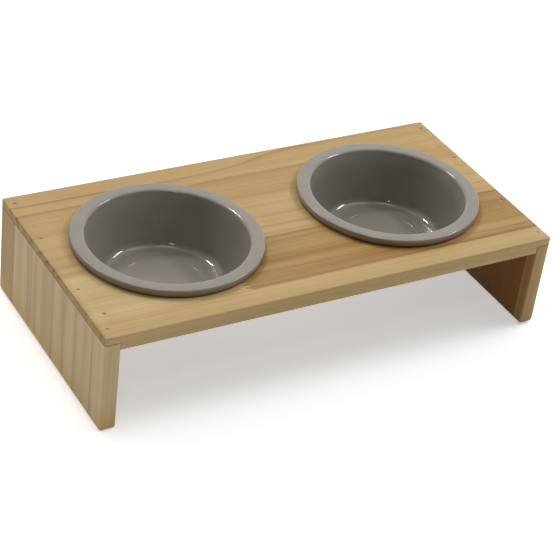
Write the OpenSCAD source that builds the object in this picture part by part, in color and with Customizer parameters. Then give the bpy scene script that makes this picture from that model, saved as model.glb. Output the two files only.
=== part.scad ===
// Dog feeder stand: a low pine bench with two glazed stoneware bowls that hang in it by their rims.
// It stands on z = 0 with the origin at the middle of its footprint.
// +X runs along the board to the right, +Y to the back and +Z up.

/* [Stand] */
// Length of the top board, end to end
stand_l = 400; // [360:5:600]
// Depth of the top board, front to back
stand_d = 200; // [165:5:300]
// Height of the top of the board above the floor
stand_h = 86; // [70:1:200]
// Thickness of the top board
board_t = 13; // [11:0.5:20]
// Thickness of each leg
leg_t = 13; // [10:0.5:18]
// Radius that eases the long edges of the planks
ease_r = 1; // [0.4:0.1:2]
// Radius on the four upright corners of the stand
corner_r = 2; // [0.5:0.25:4]
// Radius on the edges of a leg that stand on the floor
foot_edge_r = 2.5; // [0.5:0.25:3.5]

/* [Corner joint] */
// Thickness of the lip left over the rebate, which covers the top of the leg
lip_t = 6.5; // [4:0.25:9]
// Number of brads in each half of a joint, front and back
brads_per_half = 2; // [2:1:3]
// Distance from the front and back edges to the nearest brad
brad_edge = 11; // [6:0.5:30]
// Distance between the two brads nearest the middle of a joint
brad_mid_gap = 72; // [20:1:90]
// Length of a brad
brad_l = 30; // [20:1:45]
// Diameter of a brad's shank
brad_d = 1.4; // [1:0.1:2]
// Diameter of a brad's head
brad_head_d = 2.2; // [2.1:0.1:3]
// Height of a brad's head
brad_head_h = 0.8; // [0.5:0.1:1.5]
// Length of a brad's point
brad_point_l = 2.5; // [1:0.25:5]
// Depth that a head is punched below the surface
brad_set = 0.6; // [0.2:0.1:1.5]
// Clearance all round a brad in the wood
brad_fit = 0.05; // [0.02:0.01:0.2]

/* [Bowl] */
// Outside diameter of the rim
rim_d = 153; // [140:1:165]
// Width of the flat rim, from its outside to the mouth
rim_w = 11; // [9:0.5:14]
// Thickness of the rim
rim_t = 6.5; // [5:0.25:9]
// Depth from the rim to the floor of the bowl
bowl_depth = 44; // [30:1:60]
// Diameter at which the straight wall would meet the floor
floor_d = 100; // [80:1:110]
// Thickness of the wall
wall_t = 4.5; // [3.5:0.25:6]
// Thickness of the floor
floor_t = 5; // [4:0.25:8]
// Diameter of the shallow well in the middle of the floor
well_d = 66; // [40:1:70]
// Depth of that well
well_depth = 0.5; // [0.2:0.1:1]
// Fillet between the wall and the floor
floor_fillet_r = 8; // [2:0.5:11]
// Radius on the edge of the mouth
mouth_edge_r = 3; // [0.5:0.25:4]
// Radius on the upper outside edge of the rim
rim_top_r = 1.2; // [0.5:0.1:2]
// Radius on the lower outside edge of the rim
rim_under_r = 1.8; // [0.5:0.1:2.5]
// Radius where the rim turns into the wall
neck_r = 1.2; // [0.5:0.1:1.5]
// Radius on the lower edge of the wall
base_edge_r = 6; // [3:0.5:8]
// Distance from the lower edge of the wall in to the foot ring
foot_inset = 9; // [7:0.5:14]
// Width of the foot ring
foot_w = 5; // [3:0.5:8]
// Height of the foot ring
foot_h = 2.5; // [2:0.25:4]
// Radius on the edges of the foot ring
foot_ring_r = 0.8; // [0.3:0.1:1]

/* [Bowl in the board] */
// Board left between the rim and the end of the board
end_margin = 21.5; // [19:0.5:40]
// Gap all round between the wall of a bowl and its hole
hole_gap = 2.5; // [1.5:0.25:4]

/* [Hidden] */
$fn = 96;
// Straight steps that make up each rounded corner
arc_steps = 6;
// Overshoot of a cut past the face that it opens
over = 1;

half_l = stand_l / 2;
half_d = stand_d / 2;
lip_z = stand_h - lip_t;
under_z = stand_h - board_t;
shoulder_x = half_l - leg_t;
leg_x = half_l - leg_t / 2;

// Heights inside a bowl are counted from the underside of the rim, which lies on the board.
mouth_rad = rim_d / 2 - rim_w;
floor_rad = floor_d / 2;
floor_z = rim_t - bowl_depth;
base_z = floor_z - floor_t;
foot_z = base_z - foot_h;
wall_lean = atan((mouth_rad - floor_rad) / bowl_depth);
wall_level_t = wall_t / cos(wall_lean);
neck_rad = mouth_rad - rim_t * tan(wall_lean) + wall_level_t;
base_rad = floor_rad - floor_t * tan(wall_lean) + wall_level_t;
foot_rad = base_rad - foot_inset;
well_rad = well_d / 2;

bowl_x = half_l - end_margin - rim_d / 2;
hole_rad = neck_rad + hole_gap;

// Places of the brads in the back half of a joint, from the edge in, and then those of the front half
brad_pitch = (half_d - brad_edge - brad_mid_gap / 2) / (brads_per_half - 1);
back_brad_y = [for (i = [0 : brads_per_half - 1]) half_d - brad_edge - i * brad_pitch];
brad_y = concat(back_brad_y, [for (i = [brads_per_half - 1 : -1 : 0]) -back_brad_y[i]]);

pine = [0.79, 0.67, 0.47];
pine_leg = [0.75, 0.63, 0.45];
glaze = [0.58, 0.55, 0.51];
steel = [0.45, 0.43, 0.40];

brad_numbers = [1 : len(brad_y)];

function unit(v) = v / norm(v);
function turned(v, angle) =
    [v[0] * cos(angle) - v[1] * sin(angle), v[0] * sin(angle) + v[1] * cos(angle)];

// Arc that rounds the corner "at" between its neighbours, each given as [x, y, radius]
function corner_arc(before, at, after) =
    let (
        corner = [at[0], at[1]],
        back = unit([before[0], before[1]] - corner),
        ahead = unit([after[0], after[1]] - corner),
        half_angle = acos(back * ahead) / 2,
        centre = corner + unit(back + ahead) * at[2] / sin(half_angle),
        first = corner + back * at[2] / tan(half_angle) - centre,
        turn = sign(cross(ahead, back)) * (180 - 2 * half_angle)
    )
    [for (i = [0 : arc_steps]) centre + turned(first, turn * i / arc_steps)];

// Outline through corners given as [x, y, radius], where a radius of 0 stays sharp
function rounded(corners) =
    let (n = len(corners))
    [for (i = [0 : n - 1])
        each (corners[i][2] == 0
            ? [[corners[i][0], corners[i][1]]]
            : corner_arc(corners[(i + n - 1) % n], corners[i], corners[(i + 1) % n]))];

// An outline in Y and Z, drawn out along X
module along_x(length) {
    rotate([90, 0, 90])
        linear_extrude(length, center = true)
            children();
}

// An outline in X and Z, drawn out along Y
module along_y(length) {
    rotate([90, 0, 0])
        linear_extrude(length, center = true)
            children();
}

// The board seen from the front: a plank with a rebate under each end
module board_front() {
    polygon(rounded([
        [-half_l, stand_h, ease_r],
        [-half_l, lip_z, 0],
        [-shoulder_x, lip_z, 0],
        [-shoulder_x, under_z, 0],
        [shoulder_x, under_z, 0],
        [shoulder_x, lip_z, 0],
        [half_l, lip_z, 0],
        [half_l, stand_h, ease_r]
    ]));
}

// The board seen from the end, with all four long edges eased
module board_end() {
    polygon(rounded([
        [-half_d, stand_h, ease_r],
        [-half_d, under_z, ease_r],
        [half_d, under_z, ease_r],
        [half_d, stand_h, ease_r]
    ]));
}

// The stand seen from above
module stand_plan() {
    polygon(rounded([
        [-half_l, -half_d, corner_r],
        [half_l, -half_d, corner_r],
        [half_l, half_d, corner_r],
        [-half_l, half_d, corner_r]
    ]));
}

// One brad as a turned shape, with its head's top at z = 0 and "fit" added all round
module brad_shape(fit, head_top) {
    head_rad = brad_head_d / 2 + fit;
    shank_rad = brad_d / 2 + fit;
    rotate_extrude()
        polygon([
            [0, head_top],
            [head_rad, head_top],
            [head_rad, -brad_head_h - fit],
            [shank_rad, -brad_head_h - fit],
            [shank_rad, brad_point_l - brad_l],
            [0, -brad_l - fit]
        ]);
}

module at_brad(side, y) {
    translate([side * leg_x, y, stand_h - brad_set])
        children();
}

// Holes that the brads of one joint make in the lip and in the leg under it
module brad_holes(side) {
    for (y = brad_y)
        at_brad(side, y)
            brad_shape(brad_fit, brad_set + over);
}

module top_board() {
    color(pine)
        difference() {
            intersection() {
                along_y(stand_d) board_front();
                along_x(stand_l) board_end();
                translate([0, 0, under_z]) linear_extrude(board_t) stand_plan();
            }
            for (side = [-1, 1]) {
                translate([side * bowl_x, 0, under_z - over])
                    cylinder(r = hole_rad, h = board_t + 2 * over);
                brad_holes(side);
            }
        }
}

// A leg seen from the front, with both lower edges rounded
module leg_front() {
    polygon(rounded([
        [shoulder_x, 0, foot_edge_r],
        [half_l, 0, foot_edge_r],
        [half_l, lip_z, 0],
        [shoulder_x, lip_z, 0]
    ]));
}

// A leg seen from the end
module leg_end() {
    polygon(rounded([
        [-half_d, 0, foot_edge_r],
        [half_d, 0, foot_edge_r],
        [half_d, lip_z, 0],
        [-half_d, lip_z, 0]
    ]));
}

// A leg seen from above, rounded outside like the corners of the board and eased inside
module leg_plan() {
    polygon(rounded([
        [shoulder_x, -half_d, ease_r],
        [half_l, -half_d, corner_r],
        [half_l, half_d, corner_r],
        [shoulder_x, half_d, ease_r]
    ]));
}

// The right leg, which stands with its top in the rebate and its inner face against the shoulder
module right_leg() {
    color(pine_leg)
        difference() {
            intersection() {
                along_y(stand_d) leg_front();
                translate([leg_x, 0, 0]) along_x(leg_t) leg_end();
                linear_extrude(lip_z) leg_plan();
            }
            brad_holes(1);
        }
}

module left_leg() {
    mirror([1, 0, 0])
        right_leg();
}

// Half section of a bowl: floor with its well, wall, flat rim, underside and foot ring
module bowl_section() {
    polygon(rounded([
        [0, floor_z - well_depth, 0],
        [well_rad - well_depth, floor_z - well_depth, 0],
        [well_rad, floor_z, 0],
        [floor_rad, floor_z, floor_fillet_r],
        [mouth_rad, rim_t, mouth_edge_r],
        [rim_d / 2, rim_t, rim_top_r],
        [rim_d / 2, 0, rim_under_r],
        [neck_rad, 0, neck_r],
        [base_rad, base_z, base_edge_r],
        [foot_rad, base_z, foot_ring_r],
        [foot_rad, foot_z, foot_ring_r],
        [foot_rad - foot_w, foot_z, foot_ring_r],
        [foot_rad - foot_w, base_z, foot_ring_r],
        [0, base_z, 0]
    ]));
}

module right_bowl() {
    color(glaze)
        translate([bowl_x, 0, stand_h])
            rotate_extrude()
                bowl_section();
}

module left_bowl() {
    mirror([1, 0, 0])
        right_bowl();
}

module brad(side, number) {
    color(steel)
        at_brad(side, brad_y[number - 1])
            brad_shape(0, 0);
}

top_board();
left_leg();
right_leg();
left_bowl();
right_bowl();
for (i = brad_numbers) {
    brad(-1, i);
    brad(1, i);
}
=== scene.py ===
import math

import bmesh
import bpy
from mathutils import Matrix, Vector


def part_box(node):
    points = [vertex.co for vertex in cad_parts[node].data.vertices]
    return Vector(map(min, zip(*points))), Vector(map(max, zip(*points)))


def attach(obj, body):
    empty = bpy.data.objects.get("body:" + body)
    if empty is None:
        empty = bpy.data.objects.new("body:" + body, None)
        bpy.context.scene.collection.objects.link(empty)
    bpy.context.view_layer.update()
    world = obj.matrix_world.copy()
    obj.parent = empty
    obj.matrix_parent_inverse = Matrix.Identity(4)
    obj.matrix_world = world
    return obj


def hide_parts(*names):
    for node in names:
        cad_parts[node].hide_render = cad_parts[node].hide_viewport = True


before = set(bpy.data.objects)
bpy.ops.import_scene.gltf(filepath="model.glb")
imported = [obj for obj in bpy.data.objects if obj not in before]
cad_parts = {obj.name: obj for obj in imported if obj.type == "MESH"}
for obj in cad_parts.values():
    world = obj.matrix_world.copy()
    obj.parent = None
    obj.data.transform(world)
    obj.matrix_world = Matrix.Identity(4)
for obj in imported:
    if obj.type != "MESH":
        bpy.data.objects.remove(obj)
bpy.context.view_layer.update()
mm = 0.001


# Top board
# One wide panel of pine, glued up edge to edge from four staves, planed, sanded and left unvarnished.
# A rebate under each end leaves a thin lip that covers the leg, and two round holes take the bowls.

board_low, board_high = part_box("top_board")
lip_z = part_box("right_leg")[1].z
shoulder_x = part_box("right_leg")[0].x
bowl_x = sum(corner.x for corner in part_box("right_bowl")) / 2
hole_rad = 70.5 * mm
hole_edge_r = 0.6 * mm
hole_steps = 160
bore_l = 100 * mm
ease_r = 1.0 * mm
corner_r = 2.0 * mm
joint_ease_r = 0.3 * mm
ease_steps = 3
wood_crease = math.radians(30)
same = 0.01 * mm


def block(name, low, high):
    """A sawn block between two corners: a cube drawn out to size, with its place in its mesh."""
    bpy.ops.object.select_all(action="DESELECT")
    bpy.ops.mesh.primitive_cube_add(size=1, location=(low + high) / 2)
    bpy.ops.transform.resize(value=high - low)
    bpy.ops.object.transform_apply(location=True, rotation=True, scale=True)
    piece = bpy.context.object
    piece.name = piece.data.name = name
    return piece


def pick(piece, kind, chosen):
    """In edit mode, selects the faces or edges that pass a test, and nothing else."""
    bpy.ops.mesh.select_mode(type=kind)
    bpy.ops.mesh.select_all(action="DESELECT")
    mesh = bmesh.from_edit_mesh(piece.data)
    for part in mesh.faces if kind == "FACE" else mesh.edges:
        if chosen(part):
            part.select_set(True)
    bmesh.update_edit_mesh(piece.data)


def looks_up(face):
    return face.normal.z > 0.9


def looks_down(face):
    return face.normal.z < -0.9


def runs(edge, way, **place):
    """True if an edge runs along an axis and has the given coordinates, up to their sign in x and y."""
    start, end = (vertex.co for vertex in edge.verts)
    return (end - start).normalized()["xyz".index(way)] ** 2 > 0.99 and all(
        abs((abs(getattr(start, axis)) if axis in "xy" else start.z) - value) < same
        for axis, value in place.items()
    )


def round_edges(piece, edge_radii):
    """Rounds a sawn block: each test of an edge goes with the radius that its edges get."""
    largest = max(radius for radius, chosen in edge_radii)
    bpy.ops.object.mode_set(mode="EDIT")
    for radius, chosen in edge_radii:
        pick(piece, "EDGE", chosen)
        bpy.ops.transform.edge_bevelweight(value=radius / largest)
    bpy.ops.object.mode_set(mode="OBJECT")
    rounding = piece.modifiers.new("rounding", "BEVEL")
    rounding.limit_method, rounding.width, rounding.segments = "WEIGHT", largest, ease_steps
    bpy.ops.object.modifier_apply(modifier=rounding.name)


def cut_away(piece, cutter):
    """Takes the cutter out of a piece and throws the cutter away."""
    bpy.ops.object.select_all(action="DESELECT")
    bpy.context.view_layer.objects.active = piece
    cut = piece.modifiers.new("cut", "BOOLEAN")
    cut.object, cut.operation, cut.solver = cutter, "DIFFERENCE", "EXACT"
    bpy.ops.object.modifier_apply(modifier=cut.name)
    bpy.data.objects.remove(cutter)


def drill(name, place, radius, length, steps):
    """An upright round bar, with its place in its mesh."""
    bpy.ops.object.select_all(action="DESELECT")
    bpy.ops.mesh.primitive_cylinder_add(vertices=steps, radius=radius, depth=length, location=place)
    bpy.ops.object.transform_apply(location=True, rotation=True, scale=True)
    bpy.context.object.name = name
    return bpy.context.object


board = block("pine_top", Vector((board_low.x, board_low.y, lip_z)), board_high)
bpy.ops.object.mode_set(mode="EDIT")
for side in (-1, 1):
    bpy.ops.mesh.select_all(action="SELECT")
    bpy.ops.mesh.bisect(plane_co=(side * shoulder_x, 0, 0), plane_no=(1, 0, 0))
pick(board, "FACE", lambda face: looks_down(face) and abs(face.calc_center_median().x) < same)
bpy.ops.mesh.extrude_region_move(TRANSFORM_OT_translate={"value": (0, 0, board_low.z - lip_z)})
bpy.ops.object.mode_set(mode="OBJECT")
round_edges(board, [
    (corner_r, lambda edge: runs(edge, "z", x=board_high.x, y=board_high.y)),
    (ease_r, lambda edge: runs(edge, "y", x=board_high.x, z=board_high.z)),
    (ease_r, lambda edge: runs(edge, "x", y=board_high.y, z=board_high.z)),
    (ease_r, lambda edge: runs(edge, "x", y=board_high.y, z=board_low.z)),
    (joint_ease_r, lambda edge: runs(edge, "x", y=board_high.y, z=lip_z)),
    (joint_ease_r, lambda edge: runs(edge, "y", x=board_high.x, z=lip_z)),
])
for side in (-1, 1):
    cut_away(board, drill("bore", (side * bowl_x, 0, board_high.z), hole_rad, bore_l, hole_steps))
bpy.context.view_layer.objects.active = board
board.select_set(True)
bpy.ops.object.mode_set(mode="EDIT")
for side in (-1, 1):
    axis = Vector((side * bowl_x, 0))
    pick(board, "EDGE", lambda edge: all(
        abs((end.co.xy - axis).length - hole_rad) < same for end in edge.verts)
        and abs(edge.verts[0].co.z - edge.verts[1].co.z) < same)
    bpy.ops.mesh.bevel(offset=hole_edge_r, segments=ease_steps, affect="EDGES")
bpy.ops.object.mode_set(mode="OBJECT")
bpy.ops.object.shade_smooth_by_angle(angle=wood_crease)


class Tone:
    """A value or colour that varies over a finish: one socket in the material's node tree."""

    def __init__(self, socket):
        self.socket = socket
        self.tree = socket.id_data

    def node(self, kind, settings={}, inputs={}, output=0):
        """Adds any node: its settings first, then the values or links of its sockets."""
        made = self.tree.nodes.new(kind)
        for name, value in settings.items():
            if name == "stops":
                ramp = made.color_ramp
                while len(ramp.elements) < len(value):
                    ramp.elements.new(1)
                for element, (place, colour) in zip(ramp.elements, value):
                    element.position, element.color = place, colour
            else:
                setattr(made, name, value)
        for name, value in inputs.items():
            if isinstance(value, Tone):
                self.tree.links.new(value.socket, made.inputs[name])
            else:
                made.inputs[name].default_value = value
        return Tone(made.outputs[output])

    def maths(self, operation, *values):
        return self.node("ShaderNodeMath", {"operation": operation}, dict(enumerate(values)))

    def __add__(self, other):
        return self.maths("ADD", self, other)

    def __sub__(self, other):
        return self.maths("SUBTRACT", self, other)

    def __rsub__(self, other):
        return self.maths("SUBTRACT", other, self)

    def __mul__(self, other):
        return self.maths("MULTIPLY", self, other)

    def __truediv__(self, other):
        return self.maths("DIVIDE", self, other)

    def __pow__(self, other):
        return self.maths("POWER", self, other)

    def __gt__(self, other):
        return self.maths("GREATER_THAN", self, other)

    def __lt__(self, other):
        return self.maths("LESS_THAN", self, other)

    def __abs__(self):
        return self.maths("ABSOLUTE", self)

    __radd__ = __add__
    __rmul__ = __mul__

    def split(self):
        """The three numbers of a vector."""
        first = self.node("ShaderNodeSeparateXYZ", {}, {0: self})
        return [Tone(socket) for socket in first.socket.node.outputs]

    def times(self, *factors):
        """A vector, with each of its three numbers multiplied."""
        return self.node("ShaderNodeVectorMath", {"operation": "MULTIPLY"}, {0: self, 1: factors})

    def rise(self, start, end):
        """0 below start, 1 above end and a smooth rise between them."""
        return self.node("ShaderNodeMapRange", {"interpolation_type": "SMOOTHSTEP"},
                         {0: self, "From Min": start, "From Max": end})

    def between(self, start, full, fade, end):
        """1 from full to fade, and 0 before start and after end."""
        return self.rise(start, full) * (1 - self.rise(fade, end))

    def clouds(self, *grain, detail=2.0, seed=0.0):
        """Noise around 0, from about -1 to 1, whose grains have the given sizes along the three axes."""
        finer = self.times(*[1 / size for size in grain])
        noise = finer.node("ShaderNodeTexNoise", {"noise_dimensions": "4D"},
                           {"Vector": finer, "W": seed, "Scale": 1.0, "Detail": detail})
        return noise * 4 - 2

    def blend(self, plain, other):
        """The plain colour where this is 0 and the other where it is 1."""
        return self.node("ShaderNodeMix", {"data_type": "RGBA", "clamp_factor": True},
                         {0: self, 6: plain, 7: other}, output=2)

    def relief(self, strength, depth):
        """The bumps of a surface, with this as their height."""
        return self.node("ShaderNodeBump", {}, {"Strength": strength, "Distance": depth, "Height": self})


def colour(red, green, blue):
    """An sRGB colour, as one reads it off a picture, as a linear one for a shader."""
    return tuple(((c / 255 + 0.055) / 1.055) ** 2.4 for c in (red, green, blue)) + (1.0,)


def new_finish(name):
    """A new material: itself, its shader and the place on the piece in millimetres."""
    finish = bpy.data.materials.new(name)
    finish.use_nodes = True
    nodes = finish.node_tree.nodes
    place = Tone(nodes.new("ShaderNodeTexCoord").outputs["Object"]).times(1 / mm, 1 / mm, 1 / mm)
    return finish, nodes["Principled BSDF"], place


def feed(shader, **tones):
    """Links what varies over the surface to the shader, and sets what is the same all over it."""
    for name, tone in tones.items():
        socket = shader.inputs[name.replace("_", " ").title()]
        if isinstance(tone, Tone):
            tone.tree.links.new(tone.socket, socket)
        else:
            socket.default_value = tone


board_sapwood = colour(206, 181, 131)
leg_sapwood = colour(222, 201, 158)
heartwood = colour(174, 140, 84)
# old_heartwood is also where the painted shade on the right leg's inner face ends up.
old_heartwood = colour(132, 82, 24)
summer_wood = colour(138, 92, 42)
end_wood = colour(168, 136, 78)
end_ring = colour(84, 54, 20)
foot_stain = colour(214, 176, 104)
no_ring = (0, 0, 0, 1)
ring_span = 210
late_l = 1.2
leg_t = board_high.x - shoulder_x
finger_l = 7.0
finger_w = 4.0
tint_fade = 3.0


def pine(name, order, face, sapwood, staves, rings, swell=(), tints=(), joint=(), knots=(), damp_foot=0.0,
         painted_shade_side=()):
    """Glued pine, in millimetres. order says which of x, y and z run along, across and through the grain,
    and face where the show face lies. A stave has the place where it begins, its brownness, how far its
    rings lean through the wood and how dark its end grain is. A ring has the place and the strength of its
    summer wood. A swell pushes the rings aside and a tint makes a patch browner: both have where they begin
    and end along the grain, the lowest and highest place across it, and by how much. A joint is a finger
    joint in a stave: its place, and the brownness and the share of the rings before it. A knot has its
    place and radius, and damp_foot is how high up the wood is stained. The face behind the show face stands
    in the shade under the board and is painted browner and darker there, by the last argument for each
    stave: painted shade."""
    finish, shader, place = new_finish(name)
    x, y, z = place.split()
    along, across, through = ({"x": x, "y": y, "z": z}[axis] for axis in order)
    facing = place.node("ShaderNodeTexCoord", output="Normal").split()["xyz".index(order[0])]
    end_facing = abs(facing).rise(0.5, 0.95)
    grain = along.node("ShaderNodeCombineXYZ", {}, {0: along, 1: across, 2: through})
    begins, brown, lean, end_dark = zip(*staves)
    past = [across > begin for begin in begins[1:]]

    def by_stave(values):
        chosen = values[0]
        for mask, before, after in zip(past, values, values[1:]):
            chosen = mask * (after - before) + chosen
        return chosen

    drift = grain.clouds(170, 40, 40, detail=1.0) * 3.2 + grain.clouds(38, 7, 7, detail=1.0, seed=3) * 0.6
    for start, end, low, high, by in swell:
        drift = drift + along.rise(start, end) * across.rise(low, high) * by
    ring_place = across + drift + by_stave(lean) * (through - face)
    stops = [(0.0, no_ring)]
    for ring, strength in rings:
        stops += [(ring / ring_span + 0.5, (strength ** 0.25,) * 3 + (1,)),
                  ((ring + late_l) / ring_span + 0.5, no_ring)]
    summer = ring_place.node("ShaderNodeValToRGB", {"stops": stops}, {0: ring_place / ring_span + 0.5})
    summer = summer ** (4 - end_facing * 2.2)
    summer = summer * (grain.clouds(90, 8, 8, detail=1.0, seed=5) * 0.5 + 0.8)

    brownness = by_stave(brown)
    # Painted shade: the face behind the show face, which stands under the board, is pushed browner and
    # darker.
    if painted_shade_side:
        behind = abs(through - face).rise(leg_t / mm - 1.6, leg_t / mm - 0.2)
        brownness = brownness + behind * by_stave(painted_shade_side)
    for start, end, low, high, by in tints:
        patch = across.between(low - tint_fade, low + tint_fade, high - tint_fade, high + tint_fade)
        brownness = brownness + along.rise(start, end) * patch * by
    if joint:
        stave, joint_at, brown_before, rings_before = joint
        fingers = across / finger_w
        zigzag = abs(fingers.maths("FRACT", fingers) * 2 - 1) * finger_l
        before = (along < zigzag + joint_at) * past[stave - 1] * (1 - past[stave])
        brownness = brownness + before * (brown_before - brown[stave])
        summer = summer * (1 - before * (1 - rings_before))
    band = grain.clouds(360, 15, 15, detail=1.0, seed=7)
    streak = grain.clouds(190, 2.6, 2.6, detail=2.0, seed=9)
    fibre = grain.clouds(34, 0.6, 0.6, detail=3.0, seed=11)
    fleck = grain.clouds(8, 0.4, 0.4, detail=1.0, seed=17).rise(0.8, 1.1)

    ages = [(0, sapwood), (0.65, heartwood), (1, old_heartwood)]
    age = brownness + band * 0.16 + streak * 0.09
    wood = age.node("ShaderNodeValToRGB", {"stops": ages}, {0: age})
    wood = (end_facing * (0.8 + streak * 0.25)).blend(wood, end_wood)
    if damp_foot:
        wet = 1 - (along + grain.clouds(30, 12, 12, seed=21) * 9).rise(4, damp_foot)
        wood = (wet * 0.6).blend(wood, foot_stain)
    dark = summer * (end_facing * 0.3 + 0.72) + fibre * 0.05 + fleck * 0.14 + 0.04
    dark = dark + end_facing * (by_stave(end_dark) + band * 0.12)
    for glue_line in begins[1:]:
        dark = dark + (1 - abs(across - glue_line).rise(0.1, 0.4)) * 0.3
    corner_joint = (1 - abs(z - lip_z / mm).rise(0.2, 0.6)) * (abs(x) > shoulder_x / mm)
    dark = dark + corner_joint * 0.6
    for knot_along, knot_across, knot_rad in knots:
        off = ((along - knot_along) ** 2 + (across - knot_across) ** 2) ** 0.5
        dark = dark + (1 - off.rise(knot_rad * 0.3, knot_rad)) * 0.75
    wood = dark.blend(wood, summer_wood)
    wood = (end_facing * summer * 0.6).blend(wood, end_ring)

    height = summer * 0.5 + fibre * 0.25 - fleck * 0.5
    feed(shader, base_color=wood, roughness=0.6 - summer * 0.1 + fibre * 0.03,
         normal=height.relief(0.5, 0.08 * mm))
    shader.inputs["Specular IOR Level"].default_value = 0.3
    return finish


board_staves = [(-100, 0.3, 0.5, -0.1), (-81, 0.7, -0.4, 0.05),
                (-20, 0.35, 0.9, 0.1), (41, 0.44, -0.7, 0.16)]
board_rings = [(-92, 0.2), (-77, 0.25), (-62, 0.9), (-51, 0.25), (-38, 0.3), (-27, 0.75), (-14, 0.35),
               (-5, 0.75), (9, 0.5), (23, 0.4), (40, 0.6), (55, 0.25), (70, 0.8), (83, 0.95)]
board.data.materials.append(pine(
    "board_pine", "xyz", board_high.z / mm, board_sapwood, board_staves, board_rings,
    swell=[(-60, 80, 74, 96, -16), (50, 165, -90, -82, 11), (50, 165, -58, -25, -11)],
    tints=[(-90, -70, -74, -61, 0.1), (70, 140, -77, -64, -0.36)],
    joint=(1, -75, 0.2, 0.3), knots=[(-187.5, -70.5, 2.4)]))
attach(board, "stand")
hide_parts("top_board")


# Legs
# Two short pieces of the same panel with the grain upright, pushed up into the rebates of the board.
# Their outer corners are rounded with the board's, and the edges that stand on the floor a little more.

left_foot_r, right_foot_r = 2.5 * mm, 4.5 * mm
left_inner_r, right_inner_r = 1.0 * mm, 2.6 * mm


def leg(name, node, foot_edge_r, inner_edge_r):
    """A leg in the place of its node. The right one has been sanded more than the left one."""
    low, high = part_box(node)
    piece = block(name, low, high)
    round_edges(piece, [
        (corner_r, lambda edge: runs(edge, "z", x=board_high.x, y=high.y)),
        (inner_edge_r, lambda edge: runs(edge, "z", x=shoulder_x, y=high.y)),
        (foot_edge_r, lambda edge: abs(edge.verts[0].co.z + edge.verts[1].co.z - 2 * low.z) < same),
        (joint_ease_r, lambda edge: runs(edge, "x", y=high.y, z=high.z)),
        (joint_ease_r, lambda edge: runs(edge, "y", x=board_high.x, z=high.z)),
    ])
    bpy.ops.object.shade_smooth_by_angle(angle=wood_crease)
    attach(piece, "stand")
    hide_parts(node)
    return piece


left_staves = [(-100, 0.12, 0.3, 0.3), (-79, 0.13, -0.4, 0.2), (-5, 0.27, 0.4, 0.2), (71, 0.68, -0.3, 0.3)]
left_rings = [(-92, 0.3), (-79, 0.9), (-62, 0.25), (-47, 0.75), (-26, 0.65), (-5, 0.85), (12, 0.35),
              (26, 0.7), (44, 0.8), (60, 0.3), (77, 0.8), (90, 0.5)]
right_staves = [(-100, 0.48, -0.3, 0.3), (-90, 0.7, 0.5, 0.2), (-20, 0.6, -0.5, 0.2), (41, 0.45, 0.3, 0.2)]
right_rings = [(-90, 0.3), (-74, 0.7), (-60, 0.5), (-41, 0.8), (-28, 0.4), (-8, 0.8), (11, 0.6), (31, 0.5),
               (50, 0.8), (70, 0.7), (86, 0.6)]
pine_left = pine("leg_pine_left", "zyx", board_low.x / mm, leg_sapwood, left_staves, left_rings,
                 damp_foot=26)
# The right leg's inner face, under the board, gets painted shade.
pine_right = pine("leg_pine_right", "zyx", board_high.x / mm, leg_sapwood, right_staves, right_rings,
                  painted_shade_side=(0.2, 0.45, 0.45, 0.45))
left_leg = leg("pine_leg_left", "left_leg", left_foot_r, left_inner_r)
left_leg.data.materials.append(pine_left)
right_leg = leg("pine_leg_right", "right_leg", right_foot_r, right_inner_r)
right_leg.data.materials.append(pine_right)


# Brads
# Thin finishing nails of drawn steel wire, four to a joint, that go through the lip into the end grain of
# the leg. Their small heads are punched a little below the surface and have gone dull.

brad_low, brad_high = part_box("left_brad_1")
shank_rad = 0.7 * mm
head_rad = 1.1 * mm
head_h = 0.8 * mm
head_rim_w = 0.3 * head_rad
dent_slope_w = 0.25 * head_rad
dent = 0.2 * mm
point_l = 2.5 * mm
point_share = 0.08
nail_steps = 20
wood_fit = 0.05 * mm
crush_h = 0.4 * mm
crush_spread = 1.6
nail_crease = math.radians(35)


def nail_shape(name, fit, top_z):
    """A brad at the origin's axis: a shank, drawn out to a point below and to a head above."""
    shank_low, shank_high = brad_low.z + point_l, brad_high.z - head_h - fit
    middle = (0, 0, (shank_low + shank_high) / 2)
    nail = drill(name, middle, shank_rad + fit, shank_high - shank_low, nail_steps)
    bpy.ops.object.mode_set(mode="EDIT")
    pick(nail, "FACE", looks_down)
    bpy.ops.mesh.extrude_region_move(TRANSFORM_OT_translate={"value": (0, 0, -point_l)})
    bpy.ops.transform.resize(value=(point_share, point_share, 1))
    pick(nail, "FACE", looks_up)
    bpy.ops.mesh.extrude_region_move(TRANSFORM_OT_translate={"value": (0, 0, 0)})
    widen = (head_rad + fit) / (shank_rad + fit)
    bpy.ops.transform.resize(value=(widen, widen, 1))
    bpy.ops.mesh.extrude_region_move(TRANSFORM_OT_translate={"value": (0, 0, top_z - shank_high)})
    bpy.ops.object.mode_set(mode="OBJECT")
    return nail


def nail_hole():
    """What a brad takes up in the wood, with the mouth that the punch has pressed wider."""
    hole = nail_shape("nail_hole", wood_fit, board_high.z - crush_h)
    bpy.ops.object.mode_set(mode="EDIT")
    pick(hole, "FACE", lambda face: looks_up(face) and face.calc_center_median().z > brad_high.z)
    bpy.ops.mesh.extrude_region_move(TRANSFORM_OT_translate={"value": (0, 0, 2 * crush_h)})
    bpy.ops.transform.resize(value=(crush_spread, crush_spread, 1))
    bpy.ops.object.mode_set(mode="OBJECT")
    return hole


def set_down(piece, node):
    """Moves a nail that is still on the origin's axis to where a node has its axis."""
    low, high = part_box(node)
    bpy.ops.object.select_all(action="DESELECT")
    bpy.context.view_layer.objects.active = piece
    piece.select_set(True)
    piece.location = ((low.x + high.x) / 2, (low.y + high.y) / 2, 0)
    bpy.ops.object.transform_apply(location=True, rotation=True, scale=True)


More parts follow.
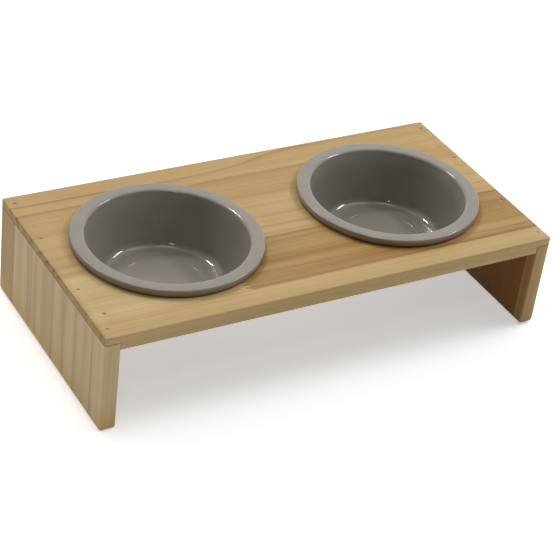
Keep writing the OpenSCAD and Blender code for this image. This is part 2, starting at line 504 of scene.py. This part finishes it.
first_brad = nail_shape("brad", 0, brad_high.z)
bpy.ops.object.mode_set(mode="EDIT")
pick(first_brad, "FACE", lambda face: looks_up(face) and face.calc_center_median().z > brad_high.z - same)
bpy.ops.mesh.inset(thickness=head_rim_w)
bpy.ops.mesh.inset(thickness=dent_slope_w)
bpy.ops.transform.translate(value=(0, 0, -dent))
bpy.ops.object.mode_set(mode="OBJECT")
bpy.ops.object.shade_smooth_by_angle(angle=nail_crease)

brad_steel, shader, place = new_finish("dull_brad_steel")
tarnish = place.clouds(0.5, 0.5, 0.5, detail=3.0)
scratch = place.clouds(0.06, 0.6, 0.6, detail=2.0, seed=4)
# The heads are painted a pale wood tan: partly wood dust in the punch marks, partly painted light that
# lifts the shade of their recesses.
feed(shader, base_color=(tarnish * 0.3 + 0.45).blend(colour(216, 184, 134), colour(186, 150, 102)),
     metallic=0.15 - tarnish * 0.1, roughness=0.5 + tarnish * 0.1 + scratch * 0.05,
     normal=(tarnish + scratch * 0.5).relief(0.4, 0.03 * mm))
first_brad.data.materials.append(brad_steel)

for side, wooden_leg in (("left", left_leg), ("right", right_leg)):
    for number in range(1, 5):
        node = f"{side}_brad_{number}"
        for wood in (board, wooden_leg):
            hole = nail_hole()
            set_down(hole, node)
            cut_away(wood, hole)
        brad = first_brad.copy()
        brad.data = first_brad.data.copy()
        brad.name = brad.data.name = f"brad_{side}_{number}"
        bpy.context.collection.objects.link(brad)
        set_down(brad, node)
        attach(brad, "stand")
        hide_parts(node)
bpy.data.objects.remove(first_brad)
for wood in (board, left_leg, right_leg):
    bpy.ops.object.select_all(action="DESELECT")
    bpy.context.view_layer.objects.active = wood
    wood.select_set(True)
    bpy.ops.object.shade_smooth_by_angle(angle=wood_crease)


# Bowls
# Glazed stoneware, turned: a flat rim that rests on the board, a wall that leans in to a round fillet,
# a floor with a shallow well, and a foot ring underneath that is left bare where it stood in the kiln.

bowl_low, bowl_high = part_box("right_bowl")
rim_rad = (bowl_high.x - bowl_low.x) / 2
rim_w = 11 * mm
rim_t = bowl_high.z - board_high.z
rim_top_r = 1.2 * mm
rim_under_r = 1.8 * mm
mouth_rad = rim_rad - rim_w
mouth_edge_r = 3 * mm
bowl_depth = 44 * mm
floor_rad = 50 * mm
floor_z = bowl_high.z - bowl_depth
floor_t = 5 * mm
floor_fillet_r = 8 * mm
wall_t = 4.5 * mm
well_rad = 33 * mm
well_depth = 0.5 * mm
well_edge_r = 0.6 * mm
throw_rads = 39.5 * mm, 42.5 * mm
throw_w = 0.8 * mm
throw_depth = 0.15 * mm
throw_r = 1.5 * mm
wall_lean = (mouth_rad - floor_rad) / (bowl_high.z - floor_z)
wall_level_t = wall_t * math.hypot(1, wall_lean)
neck_rad = mouth_rad - rim_t * wall_lean + wall_level_t
neck_r = 1.2 * mm
base_z = floor_z - floor_t
base_rad = floor_rad - floor_t * wall_lean + wall_level_t
base_edge_r = 6 * mm
foot_inset = 9 * mm
foot_w = 5 * mm
foot_ring_r = 0.8 * mm
foot_rad = base_rad - foot_inset
arc_steps = 8
turn_steps = 160
bowl_crease = math.radians(40)

throwing_rings = [
    (throw_rad + step * throw_w, floor_z - (throw_depth if step == 0 else 0), throw_r)
    for throw_rad in throw_rads
    for step in (-1, 0, 1)
]
# Radius from the axis, height and rounding, from the middle of the floor over the rim to that of the base.
bowl_corners = [
    (0, floor_z - well_depth, 0),
    (well_rad - well_depth, floor_z - well_depth, well_edge_r),
    (well_rad, floor_z, well_edge_r),
    *throwing_rings,
    (floor_rad, floor_z, floor_fillet_r),
    (mouth_rad, bowl_high.z, mouth_edge_r),
    (rim_rad, bowl_high.z, rim_top_r),
    (rim_rad, board_high.z, rim_under_r),
    (neck_rad, board_high.z, neck_r),
    (base_rad, base_z, base_edge_r),
    (foot_rad, base_z, foot_ring_r),
    (foot_rad, bowl_low.z, foot_ring_r),
    (foot_rad - foot_w, bowl_low.z, foot_ring_r),
    (foot_rad - foot_w, base_z, foot_ring_r),
    (0, base_z, 0),
]


def rounded(corners):
    """The outline through the corners, each turned into an arc of its own radius."""
    outline = []
    for i, (rad, z, rounding) in enumerate(corners):
        corner = Vector((rad, z))
        if rounding == 0:
            outline.append(corner)
            continue
        back = (Vector(corners[i - 1][:2]) - corner).normalized()
        ahead = (Vector(corners[i + 1][:2]) - corner).normalized()
        half = back.angle(ahead) / 2
        centre = corner + (back + ahead).normalized() * rounding / math.sin(half)
        first = corner + back * rounding / math.tan(half) - centre
        turn = math.copysign(math.pi - 2 * half, ahead.cross(back))
        for step in range(arc_steps + 1):
            outline.append(centre + Matrix.Rotation(turn * step / arc_steps, 2) @ first)
    return outline


def bowl(name, node, axis_x):
    """A bowl, turned about its upright axis: its outline drawn point by point and spun round."""
    outline = [Vector((axis_x + point.x, 0, point.y)) for point in rounded(bowl_corners)]
    bpy.ops.object.select_all(action="DESELECT")
    bpy.ops.mesh.primitive_plane_add(size=mm, location=outline[0])
    bpy.ops.object.transform_apply(location=True, rotation=True, scale=True)
    piece = bpy.context.object
    piece.name = piece.data.name = name
    bpy.ops.object.mode_set(mode="EDIT")
    bpy.ops.mesh.select_mode(type="VERT")
    bpy.ops.mesh.select_all(action="SELECT")
    bpy.ops.mesh.merge(type="CENTER")
    for here, there in zip(outline, outline[1:]):
        bpy.ops.mesh.extrude_region_move(TRANSFORM_OT_translate={"value": there - here})
    bpy.ops.mesh.select_all(action="SELECT")
    bpy.ops.mesh.spin(steps=turn_steps, angle=2 * math.pi, center=(axis_x, 0, 0), axis=(0, 0, 1))
    bpy.ops.mesh.select_all(action="SELECT")
    bpy.ops.mesh.remove_doubles(threshold=same)
    bpy.ops.mesh.normals_make_consistent(inside=False)
    bpy.ops.object.mode_set(mode="OBJECT")
    bpy.ops.object.shade_smooth_by_angle(angle=bowl_crease)
    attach(piece, node)
    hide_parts(node)
    return piece


taupe_glaze, shader, place = new_finish("taupe_glaze")
x, y, z = place.split()
from_axis = ((abs(x) - bowl_x / mm) ** 2 + y ** 2) ** 0.5
rim_edge, mouth_edge, floor_edge = rim_rad / mm, mouth_rad / mm, floor_rad / mm
rim_foot, kiln_floor = board_high.z / mm, bowl_low.z / mm
mottle = place.clouds(22, 22, 22, detail=3.0)
speckle = place.clouds(1.3, 1.3, 1.3, detail=2.0, seed=2).rise(0.75, 1.2)
bare = 1 - (z + mottle * 0.15).rise(kiln_floor + 0.6, kiln_floor + 1.0)

glaze_tint = (mottle * 0.25 + 0.4).blend(colour(138, 133, 123), colour(150, 143, 134))
glaze_tint = (speckle * 0.18).blend(glaze_tint, colour(112, 104, 92))
# The outer edge of the rim and the band around the mouth edge are paler: partly thin glaze, partly painted
# highlight.
thin_glaze_and_highlight_rim = from_axis.rise(rim_edge - 1.1, rim_edge - 0.2)
thin_glaze_and_highlight_mouth = 1 - abs(from_axis - (mouth_edge + 0.7)).rise(0.2, 1.2)
glaze_tint = (thin_glaze_and_highlight_rim * 0.35 + thin_glaze_and_highlight_mouth * 0.2).blend(glaze_tint, colour(160, 147, 130))
# Painted shade and painted reflection of the wood: the lowest part of the rim's outside, just above the
# board, is darkened to brown.
painted_skirt_shade = from_axis.rise(rim_edge - 2, rim_edge - 1) * (1 - z.rise(rim_foot + 0.5, rim_foot + 4))
glaze_tint = (painted_skirt_shade * 0.85).blend(glaze_tint, colour(104, 84, 54))
# Painted shade: the insides of the bowls are darkened, the right bowl's more than the left's.
painted_inner_shade = (1 - from_axis.rise(mouth_edge - 5.5, mouth_edge - 1.5)) * ((x > 0) * 0.2 + 0.13)
glaze_tint = painted_inner_shade.blend(glaze_tint, colour(96, 94, 80))
glaze_tint = bare.blend(glaze_tint, colour(178, 160, 134))

dull_floor = (1 - from_axis.rise(floor_edge - 6, floor_edge - 3.5)) * 0.12
bright_fillet = from_axis.between(floor_edge - 4.5, floor_edge - 3,
                                  floor_edge + 0.5, floor_edge + 1.5) * 0.05
dull_wall = from_axis.between(floor_edge + 1, floor_edge + 4,
                              floor_edge + 7, mouth_edge - 0.5) * 0.15
dull_rim = from_axis.rise(rim_edge - 1.9, rim_edge - 0.9) * 0.08
dull = dull_floor - bright_fillet + dull_wall + dull_rim

ripple_place = from_axis * 1.5 + mottle * 0.5
ripple = ripple_place.maths("SINE", ripple_place)
ripple = ripple * from_axis.between(8, floor_edge - 8, floor_edge - 4, floor_edge - 2)
feed(shader, base_color=glaze_tint,
     roughness=0.1 + mottle * 0.01 + speckle * 0.05 + bare * 0.6 + dull,
     normal=(mottle * 0.6 + ripple * 0.1).relief(0.35, 0.25 * mm))
bowls = [bowl("bowl_left", "left_bowl", -bowl_x), bowl("bowl_right", "right_bowl", bowl_x)]
for piece in bowls:
    piece.data.materials.append(taupe_glaze)


# Floor and light
# A plain white studio floor, a bright surround behind and to the right with a soft lamp at each, a small
# weak lamp at the front left, and a dim room in front. The camera and the glaze see the floor a little
# whiter than it is.

floor_size = 8
floor_white = (0.9, 0.9, 0.9, 1)
floor_glow = (0.45, 0.45, 0.45, 1)
black = (0, 0, 0, 1)

bpy.ops.object.select_all(action="DESELECT")
bpy.ops.mesh.primitive_plane_add(size=floor_size)
floor = bpy.context.object
floor.name = "studio_floor"
floor_paint, shader, place = new_finish("floor_paint")
rays = place.node("ShaderNodeLightPath").socket.node.outputs
seen, mirrored = Tone(rays["Is Camera Ray"]), Tone(rays["Is Glossy Ray"])
feed(shader, base_color=floor_white, roughness=0.9,
     emission_color=seen.maths("MAXIMUM", seen, mirrored).blend(black, floor_glow), emission_strength=1.0)
shader.inputs["Specular IOR Level"].default_value = 0.0
floor.data.materials.append(floor_paint)

lamp_aim = Vector((0, 0, board_high.z))
lamp_distance = 2.6


def soft_lamp(name, towards, width, height, power):
    """A rectangle of light in the given direction from the stand, turned to face it."""
    bpy.ops.object.light_add(type="AREA", location=lamp_aim + Vector(towards).normalized() * lamp_distance)
    lamp = bpy.context.object
    lamp.name = name
    lamp.data.shape, lamp.data.size, lamp.data.size_y = "RECTANGLE", width, height
    lamp.data.energy = power
    lamp.rotation_euler = (lamp_aim - lamp.location).to_track_quat("-Z", "Y").to_euler()


soft_lamp("lamp_right", (0.71, -0.07, 0.70), 1.0, 0.2, 17)
soft_lamp("lamp_behind", (-0.06, 0.63, 0.77), 0.26, 0.26, 17)
soft_lamp("lamp_front", (-0.42, -0.49, 0.76), 0.3, 0.12, 2.4)

surround = bpy.data.worlds.new("surround")
bpy.context.scene.world = surround
surround.use_nodes = True
sky = surround.node_tree.nodes["Background"]
towards = Tone(surround.node_tree.nodes.new("ShaderNodeTexCoord").outputs["Generated"])
right, back, up = towards.split()
bright_side = (right * 0.34 + back * 0.94 + up * 0.25).rise(-0.3, 0.6)
low_front = (1 - up.rise(0.1, 0.45)) * (right - back).rise(-0.6, 0.4)
panel = (right * 0.45 - back * 0.08 + up * 0.89).rise(0.955, 0.995)
overhead = up.rise(0.985, 0.995)
strength = bright_side * 0.86 + low_front * 0.3 + panel * 1.4 + overhead * 2.5 + 0.05
seen = Tone(towards.node("ShaderNodeLightPath").socket.node.outputs["Is Camera Ray"])
feed(sky, color=(1, 1, 1, 1), strength=strength * (1 - seen) + seen)


# Camera
# A long lens from the front left and above, held slightly askew as the photograph was taken.

view_turn = math.radians(33.23)
view_down = math.radians(34.09)
view_tilt = math.radians(7.67)
view_aim = Vector((-22.5, -39.6, 60.0)) * mm
view_distance = 1398 * mm
view_lens = 114.575
film_w = 36

forward = Vector((math.sin(view_turn) * math.cos(view_down),
                  math.cos(view_turn) * math.cos(view_down),
                  -math.sin(view_down)))
bpy.ops.object.camera_add(location=view_aim - forward * view_distance)
camera = bpy.context.object
camera.rotation_mode = "QUATERNION"
level = forward.to_track_quat("-Z", "Y")
camera.rotation_quaternion = level @ Matrix.Rotation(view_tilt, 3, "Z").to_quaternion()
camera.data.lens = view_lens
camera.data.sensor_width = film_w
bpy.context.scene.camera = camera
bpy.context.scene.view_settings.view_transform = "Standard"
